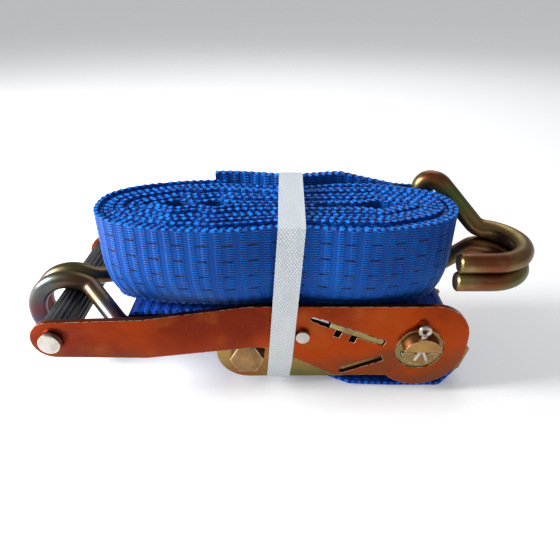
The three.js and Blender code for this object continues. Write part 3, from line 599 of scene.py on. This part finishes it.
def tail_line():
    steps = 40
    outer = []
    for i in range(steps + 1):
        x = -107 + 67 * i / steps
        outer.append(Vector((x, roll_back(x) + 0.6 + 2.4, 0.0)))
    bar = Vector((2.5, 12.5, 0.0))
    rear = [bar + Vector((math.cos(math.radians(a)), math.sin(math.radians(a)), 0)) * LOOP_R
            for a in range(100, -101, -10)]
    up = Vector((0, 1.15, 0))
    there = resample([*[p + up for p in outer], Vector((-12, 14.6, 0)), rear[0]], 60)
    closing = [Vector((-6.5, 9.4, 0)), Vector((-12.5, 12.2, 0))]
    back = resample([rear[-1], *closing, *[p - up for p in reversed(outer)]], 60)
    return resample([*there[:-1], *rear, *back[1:]], 190)


def make_tail():
    line = tail_line()
    total = lengths(line)[-1] * MM
    rows = 7

    def place(i, j):
        near_bar = max(0.0, min(1.0, (line[i].x + 40) / 38))
        low = 25.5 + (46.4 - LOOP_WIDTH / 2 - 25.5) * near_bar
        high = 75.5 + (46.4 + LOOP_WIDTH / 2 - 75.5) * near_bar
        return at(line[i].x, line[i].y, low + (high - low) * j / (rows - 1))

    obj = grid_piece("doubled_end", len(line), rows, place,
                     lambda i, j: (total * i / (len(line) - 1), WEB_WIDTH * (1 - j / (rows - 1))))
    return obj, total


doubled, doubled_length = make_tail()
thicken(doubled, 1.9, 0.5)
doubled.data.materials.append(BLUE)
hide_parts("long_strap_end")
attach(doubled, "long_strap")
print("doubled end", round(doubled_length, 3), "m")

# %% [markdown]
# The short strap starts round the anchor sleeve, runs under the frame, round its nose, back over
# the spindle and under the roll to the short hook. Its corners are listed once and rounded.

# %% The short strap
ANCHOR = Vector((-90, 0, -9))
EYE_R = 8.6
SHORT_BAR = (short_bar - spindle) / MM
STRAP_CORNERS = [
    # x, z, sideways shift, width
    (-58.5, -26.98, 0, 50), (-50, -27.5, 0, 50), (-34, -28.3, -8, 50), (-10, -29.3, -8, 50),
    (15.6, -29.3, -8, 50), (27.2, -21, -2, 50), (27.6, -12, 0, 50), (20, 2, 0, 50),
    (16, 12.6, -0.5, 50), (-22, 12.4, 0, 50), (-44, 20.4, -6, 50), (-60, 22, -8, 50),
]
LAP = 2.3
TURN_TOP = Vector((16.0, 0, 11.58))
TURN_LOW = Vector((16.28, 0, 6.43))


def eye_arc(start, end, step=10):
    angles = range(start, end, step if end > start else -step)
    return [ANCHOR + Vector((math.cos(math.radians(a)), 0, math.sin(math.radians(a)))) * EYE_R
            for a in [*angles, end]]


def strap_line():
    """Middle line of the short strap as (point, shift, width), from its sewn end round the anchor."""
    leave = eye_arc(254, 254)[0]
    first = Vector((STRAP_CORNERS[0][0], 0, STRAP_CORNERS[0][1]))
    fall = (first - leave).normalized()
    above = Vector((-fall.z, 0, fall.x)) * LAP

    def under(x):
        return leave + fall * ((x - leave.x) / fall.x)
    lap = [under(-64) + above, under(-78.5) + above]
    eye = [*lap, *eye_arc(-30, 254)]
    corners = [leave, *[Vector((x, 0, z)) for x, z, _, _ in STRAP_CORNERS],
               Vector((SHORT_BAR.x, 0, SHORT_BAR.z + LOOP_R))]
    radii = [0] + [6] * (len(corners) - 2) + [0]
    run = fillet(corners, radii)
    loop = [Vector((SHORT_BAR.x, 0, SHORT_BAR.z)) + Vector((
        math.cos(math.radians(a)), 0, math.sin(math.radians(a)))) * LOOP_R for a in range(100, 350, 10)]
    end = Vector((-60, 0, 22))
    slope = (end - corners[-1]).normalized()
    below = Vector((slope.z, 0, -slope.x)) * LAP
    lapped = [corners[-1] + slope * d + below for d in (14, 22, 34)]
    line = [*eye, *run[1:], *loop, *lapped]

    def shift_width(point, index):
        if index < len(eye):
            return 0.0, 50.0
        if index >= len(eye) + len(run) - 2:
            return -8.0, 43.5
        best = None
        table = [(leave, 0, 50), *[(Vector((x, 0, z)), s, w) for x, z, s, w in STRAP_CORNERS],
                 (corners[-1], -8, 43.5)]
        for (a, s0, w0), (b, s1, w1) in zip(table, table[1:]):
            share = max(0.0, min(1.0, (point - a).dot(b - a) / (b - a).length_squared))
            gap = (a.lerp(b, share) - point).length
            if best is None or gap < best[0]:
                best = (gap, s0 + (s1 - s0) * share, w0 + (w1 - w0) * share)
        return best[1], best[2]

    return [(p, *shift_width(p, i)) for i, p in enumerate(line)]


def make_short_strap():
    coarse = strap_line()
    line, shifts = [], []
    for (a, s0, w0), (b, s1, w1) in zip(coarse, coarse[1:]):
        turning = a.x > 10 and min(a.z, b.z) < TURN_TOP.z + 1 and max(a.z, b.z) > TURN_LOW.z - 1
        count = max(1, round((b - a).length / (0.25 if turning else 2.2)))
        for k in range(count):
            t = k / count
            line.append(a.lerp(b, t))
            shifts.append((s0 + (s1 - s0) * t, w0 + (w1 - w0) * t))
    line.append(coarse[-1][0])
    shifts.append(coarse[-1][1:])
    along = lengths(line)
    rows = 7

    def place(i, j):
        shift, width = shifts[i]
        return at(line[i].x, shift + width * (j / (rows - 1) - 0.5), line[i].z)

    obj = grid_piece("short_strap_cloth", len(line), rows, place,
                     lambda i, j: (along[i] * MM, WEB_WIDTH * j / (rows - 1)))
    return obj, along[-1] * MM


short, short_length = make_short_strap()
thicken(short, 1.9)
# the darker copy of the webbing is painted shade
short.data.materials.append(SHADED_WEBBING)
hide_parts("short_strap")
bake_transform(short)
print("short strap", round(short_length, 3), "m")

# %% [markdown]
# The band is a thin woven plastic strip pulled tight round the roll and the ratchet. Its path is
# the rounded hull of what it holds, a little slanted. Its material is partly clear, but seen through
# both of its faces it still looks almost solid white.

# %% The band
BAND_WIDTH = 12.4
BAND_CORNERS = [(-43.0, 44), (-39, -6.6), (-30.5, -25.8), (30.5, -25.8), (39, -6.6),
                (39, 26.2), (15, 75.5), (9.5, 75.5), (-43.0, 70.3)]


def make_band():
    corners = [Vector((0, y, z)) for y, z in BAND_CORNERS]
    ring = []
    for i, corner in enumerate(corners):
        back = (corners[i - 1] - corner).normalized()
        on = (corners[(i + 1) % len(corners)] - corner).normalized()
        out = [Vector((0, -b.z, b.y)) for b in (-back, on)]
        out = [o if o.dot(corner - Vector((0, -2, 25))) > 0 else -o for o in out]
        for k in range(5):
            ring.append(corner + out[0].slerp(out[1], k / 4) * 0.65)
    ring.append(ring[0])
    line = resample(ring, 150)
    along = lengths(line)
    rows = 9

    def place(i, j):
        i = i % (len(line) - 1)
        share = j / (rows - 1) - 0.5
        x = -71.3 + 0.065 * (line[i].z - 8.7) + BAND_WIDTH * share
        return at(x, line[i].y, line[i].z)

    obj = grid_piece("band_film", len(line), rows, place,
                     lambda i, j: (along[i] * MM, BAND_WIDTH * MM * j / (rows - 1)))
    bm = bmesh.new()
    bm.from_mesh(obj.data)
    bmesh.ops.remove_doubles(bm, verts=bm.verts, dist=1e-6)
    bm.to_mesh(obj.data)
    bm.free()
    return obj, along[-1] * MM


def band_material():
    material = bpy.data.materials.new("white band")
    material.use_nodes = True
    w = Wiring(material.node_tree)
    shader = material.node_tree.nodes["Principled BSDF"]
    split = w.node("ShaderNodeSeparateXYZ")
    w.join(w.node("ShaderNodeUVMap", uv_map="UVMap").outputs[0], split.inputs[0])
    turn = 2 * math.pi
    across = w.value("SINE", w.value("MULTIPLY", split.outputs[1], turn / (1.5 * MM)))
    along = w.value("SINE", w.value("MULTIPLY", split.outputs[0], turn / (2.2 * MM)))
    weave = w.value("MULTIPLY_ADD", w.value("MULTIPLY", across, along), 0.5, 0.5)
    place = w.node("ShaderNodeTexCoord").outputs["Object"]
    # streaks along the band are painted darker towards blue grey: painted shade in its creases, which also vary
    # the roughness
    crease_and_shade = w.noise(w.stretch(place, (300.0, 60.0, 60.0)), 1.0, 4.0)
    shade = w.value("MULTIPLY_ADD", weave, 0.5, w.value("MULTIPLY", crease_and_shade, 0.5), clamp=True)
    w.join(w.mix(shade, (0.55, 0.62, 0.68, 1), (0.93, 0.95, 0.94, 1)), shader.inputs["Base Color"])
    w.join(w.value("MULTIPLY_ADD", crease_and_shade, 0.3, 0.3), shader.inputs["Roughness"])
    w.join(w.value("MULTIPLY_ADD", weave, 0.3, 0.5), shader.inputs["Alpha"])
    relief = w.node("ShaderNodeBump")
    relief.inputs["Distance"].default_value = 0.00025
    w.join(shade, relief.inputs["Height"])
    w.join(relief.outputs["Normal"], shader.inputs["Normal"])
    return material


band, band_length = make_band()
solid = band.modifiers.new("thickness", "SOLIDIFY")
solid.thickness = 0.5 * MM
solid.offset = 0.0
apply_modifiers(band)
smooth(band, 60)
band.data.materials.append(band_material())
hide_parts("band")
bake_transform(band)
print("band", round(band_length, 3), "m")

# %% [markdown]
# Each hook is one bent wire: two prongs, two tight curves, two arms that spread, and the cross bar
# that the strap loops round. The path is listed for one arm and mirrored for the other.

# %% Wire hooks
HOOK_BEND_R = 19.75
HOOK_REACH = 41.1
HOOK_SPAN = 55.0
HOOK_PAIR = 9.8
HOOK_PRONG = 17.0
BAR_ANGLE = math.radians(127.25)


def hook_points(place):
    touch = BAR_ANGLE - math.acos(HOOK_BEND_R / HOOK_REACH)
    bar = Vector((math.cos(BAR_ANGLE), math.sin(BAR_ANGLE), 0)) * HOOK_REACH
    start = Vector((math.cos(touch), math.sin(touch), 0)) * HOOK_BEND_R
    span = (start - bar).length
    way = (start - bar).normalized()

    def on_arm(distance, height):
        return bar + way * distance + Vector((0, 0, height))

    def arm(sign):
        return [on_arm(span, sign * HOOK_PAIR / 2), on_arm(span - 4, sign * HOOK_PAIR / 2),
                on_arm(9, sign * HOOK_SPAN / 2), on_arm(0, sign * HOOK_SPAN / 2)]

    def curve(sign):
        height = sign * HOOK_PAIR / 2
        bend = [Vector((math.cos(a), math.sin(a), 0)) * HOOK_BEND_R + Vector((0, 0, height))
                for a in [-math.pi / 2 + (touch + math.pi / 2) * k / 30 for k in range(31)]]
        prong = [Vector((-HOOK_PRONG * k / 4, -HOOK_BEND_R, height)) for k in range(4, 0, -1)]
        return [*prong, *bend]

    middle = fillet([*arm(1), *reversed(arm(-1))], [0, 8, 8, 5.2, 5.2, 8, 8, 0])
    line = [*curve(1), *middle[1:-1], *reversed(curve(-1))]
    return [place(p) for p in line]


def long_place(p):
    foot = Vector((math.cos(BAR_ANGLE), math.sin(BAR_ANGLE), 0)) * HOOK_REACH
    return long_bar + (p - foot) * MM


def short_place(p):
    lean = math.radians(4.66)
    turn = lean + BAR_ANGLE
    centre = Vector((SHORT_BAR.x, 0, SHORT_BAR.z))
    centre -= Vector((math.cos(lean), 0, math.sin(lean))) * HOOK_REACH
    return at(centre.x + p.x * math.cos(turn) + p.y * math.sin(turn), -8 + p.z,
              centre.z + p.x * math.sin(turn) - p.y * math.cos(turn))


for name, place, body, finish in [("long_hook", long_place, "long_hook", HOOK_STEEL),
                                  ("short_hook", short_place, "short_hook", HOOK_STEEL_BLUE)]:
    hook = sweep(name + "_wire", hook_points(place), WIRE_R * MM, 32)
    hook.data.materials.append(finish)
    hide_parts(name)
    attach(hook, body)
    print(name, len(hook.data.polygons), "faces")

# %% [markdown]
# Pressed and turned parts keep their CAD shape. A copy of each is merged, its flat faces are joined
# and its sharp edges are rolled over by a fraction of a millimetre, and the new faces are marked for
# the worn edge of the finish.

# %% Steel pieces with soft edges
def finished(node, finish, width=0.35):
    source = frame["nodes"][node]
    bm = bmesh.new()
    bm.from_mesh(source.data)
    layer = bm.faces.layers.float.new("edge")
    bmesh.ops.remove_doubles(bm, verts=bm.verts, dist=1e-6)
    bmesh.ops.dissolve_limit(bm, angle_limit=math.radians(0.5), verts=bm.verts, edges=bm.edges)
    sharp = [e for e in bm.edges if e.is_manifold and e.calc_face_angle(0) > math.radians(35)]
    made = bmesh.ops.bevel(bm, geom=sharp, offset=width * MM, offset_type="OFFSET", segments=2,
                           profile=0.5, affect="EDGES", material=-1, clamp_overlap=True)
    for face in made["faces"]:
        face[layer] = 1.0
    obj = link(node + "_finished", bm)
    smooth(obj, 32)
    obj.data.materials.append(finish)
    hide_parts(node)
    bodies = frame["record"]["behaviour"]["bodies"]
    body = next(name for name, members in bodies.items() if node in members)
    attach(obj, body)
    print(node, len(obj.data.polygons), "faces")
    return obj


for side in ("near", "far"):
    finished(f"handle_plate_{side}", HANDLE_STEEL, 0.4)
    finished(f"frame_plate_{side}", FRAME_STEEL, 0.4)
    finished(f"ratchet_wheel_{side}", WHEEL_STEEL, 0.2)
    finished(f"cotter_pin_{side}", ZINC, 0.1)
for half in ("upper", "lower"):
    finished(f"spindle_half_{half}", SPINDLE_STEEL, 0.5)
finished("frame_cross_plate", FRAME_STEEL, 0.3)
finished("lock_pawl", PAWL_STEEL, 0.3)
finished("handle_pawl", PAWL_STEEL, 0.3)
finished("spacer_tube", PAWL_STEEL, 0.3)
for node in ("anchor_bolt", "anchor_nut", "anchor_sleeve"):
    finished(node, BOLT_STEEL, 0.6 if node != "anchor_sleeve" else 0.3)
finished("spacer_rivet", ZINC, 0.7)
finished("handle_axle", ZINC, 0.9)
for pawl in ("lock_pawl", "handle_pawl"):
    slide = next(j for j in frame["joints"] if j["name"] == pawl + "_slide")
    axis = Vector(slide["axis"]).normalized()
    spring = finished(pawl + "_spring", ZINC, 0.02)
    reach = [axis.dot(v.co) for v in spring.data.vertices]
    anchor = next(v.co for v in spring.data.vertices if axis.dot(v.co) == max(reach))
    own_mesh(spring)

# %% [markdown]
# The grip is a black moulded sleeve with flutes along it, so that a gloved hand doesn't slip.

# %% Grip
GRIP_R = 8.5
GRIP_BORE = 4.3
FLUTES = 20
SORT_WEIGHTS = Vector((1.0, 37.1, 1371.3))


def rubber():
    material = bpy.data.materials.new("black grip")
    material.use_nodes = True
    w = Wiring(material.node_tree)
    shader = material.node_tree.nodes["Principled BSDF"]
    place = w.node("ShaderNodeTexCoord").outputs["Object"]
    dust = w.noise(place, 90.0, 5.0)
    w.join(w.mix(w.window(dust, 0.45, 0.75), (0.012, 0.012, 0.014, 1), (0.05, 0.052, 0.056, 1)),
           shader.inputs["Base Color"])
    w.join(w.value("MULTIPLY_ADD", dust, 0.35, 0.35), shader.inputs["Roughness"])
    relief = w.node("ShaderNodeBump")
    relief.inputs["Distance"].default_value = 0.0001
    w.join(w.noise(place, 1500.0, 3.0), relief.inputs["Height"])
    w.join(relief.outputs["Normal"], shader.inputs["Normal"])
    return material


def make_grip():
    low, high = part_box("grip")
    centre = (Vector(low) + Vector(high)) / 2
    count = FLUTES * 6
    bm = bmesh.new()
    turned = Matrix.Rotation(math.radians(90), 4, "X")
    for radius in (GRIP_R, GRIP_BORE):
        bmesh.ops.create_circle(bm, cap_ends=False, segments=count, radius=radius * MM, matrix=turned)
    bm.verts.ensure_lookup_table()
    for k in range(count):
        vert = bm.verts[k]
        dip = 0.5 - 0.5 * math.cos(2 * math.pi * FLUTES * k / count)
        vert.co *= 1 - 0.085 * dip ** 2
    ring = bmesh.ops.bridge_loops(bm, edges=bm.edges[:])["faces"]
    length = high[1] - low[1]
    bmesh.ops.translate(bm, verts=bm.verts, vec=Vector((centre.x, low[1], centre.z)))
    grown = bmesh.ops.extrude_face_region(bm, geom=ring)["geom"]
    far_ring = [g for g in grown if isinstance(g, bmesh.types.BMVert)]
    bmesh.ops.translate(bm, verts=far_ring, vec=(0, length, 0))
    bmesh.ops.recalc_face_normals(bm, faces=bm.faces)
    # the extrusion makes its faces in no fixed order, so they are put in one here
    bm.verts.sort(key=lambda v: v.co.dot(SORT_WEIGHTS))
    bm.faces.sort(key=lambda f: f.calc_center_median().dot(SORT_WEIGHTS))
    return link("grip_sleeve", bm)


grip = make_grip()
smooth(grip, 50)
grip.data.materials.append(rubber())
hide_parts("grip")
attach(grip, "grip")
print("grip", len(grip.data.polygons), "faces")

# %% [markdown]
# A pale floor, one strong soft light from the left, weak ones from the right and the back, and a
# pale world: the light of a product table. The camera stands close above the near side.

# %% Floor, light and camera
bpy.ops.mesh.primitive_plane_add(size=40.0, location=(0, 0, -0.0005))
floor = bpy.context.object
floor.name = "floor"
paper = bpy.data.materials.new("pale floor")
paper.use_nodes = True
paper.node_tree.nodes["Principled BSDF"].inputs["Base Color"].default_value = (0.9, 0.9, 0.9, 1)
paper.node_tree.nodes["Principled BSDF"].inputs["Roughness"].default_value = 0.9
paper.node_tree.nodes["Principled BSDF"].inputs["Emission Color"].default_value = (1, 1, 1, 1)
paper.node_tree.nodes["Principled BSDF"].inputs["Emission Strength"].default_value = 0.2
floor.data.materials.append(paper)

world = bpy.data.worlds.new("studio")
bpy.context.scene.world = world
world.use_nodes = True
world.node_tree.nodes["Background"].inputs[0].default_value = (0.95, 0.97, 1.0, 1)
world.node_tree.nodes["Background"].inputs[1].default_value = 0.34


def soft_light(name, place, target, size, power):
    data = bpy.data.lights.new(name, "AREA")
    data.shape = "RECTANGLE"
    data.size = size
    data.size_y = size
    data.energy = power
    light = bpy.data.objects.new(name, data)
    bpy.context.scene.collection.objects.link(light)
    light.location = place
    light.rotation_euler = (Vector(target) - Vector(place)).to_track_quat("-Z", "Y").to_euler()


soft_light("key", (-0.95, -0.12, 0.4), (-0.03, 0, 0.05), 0.35, 24.0)
soft_light("fill", (0.7, -0.7, 0.5), (0, 0, 0.03), 0.6, 0.3)
soft_light("back", (0.2, 0.8, 0.9), (0, 0, 0.05), 0.7, 3.5)

SENSOR_MM = 36.0
LENS_MM = 32.14
LOOK_DOWN = math.radians(59)
camera_data = bpy.data.cameras.new("camera")
camera_data.sensor_width = SENSOR_MM
camera_data.lens = LENS_MM
camera = bpy.data.objects.new("camera", camera_data)
bpy.context.scene.collection.objects.link(camera)
camera.location = at(-72.5, -242.7, 164.1)
camera.rotation_euler = (LOOK_DOWN, 0, 0)
bpy.context.scene.camera = camera
bpy.context.scene.view_settings.view_transform = "Standard"
print("floor, three lights and the camera placed")
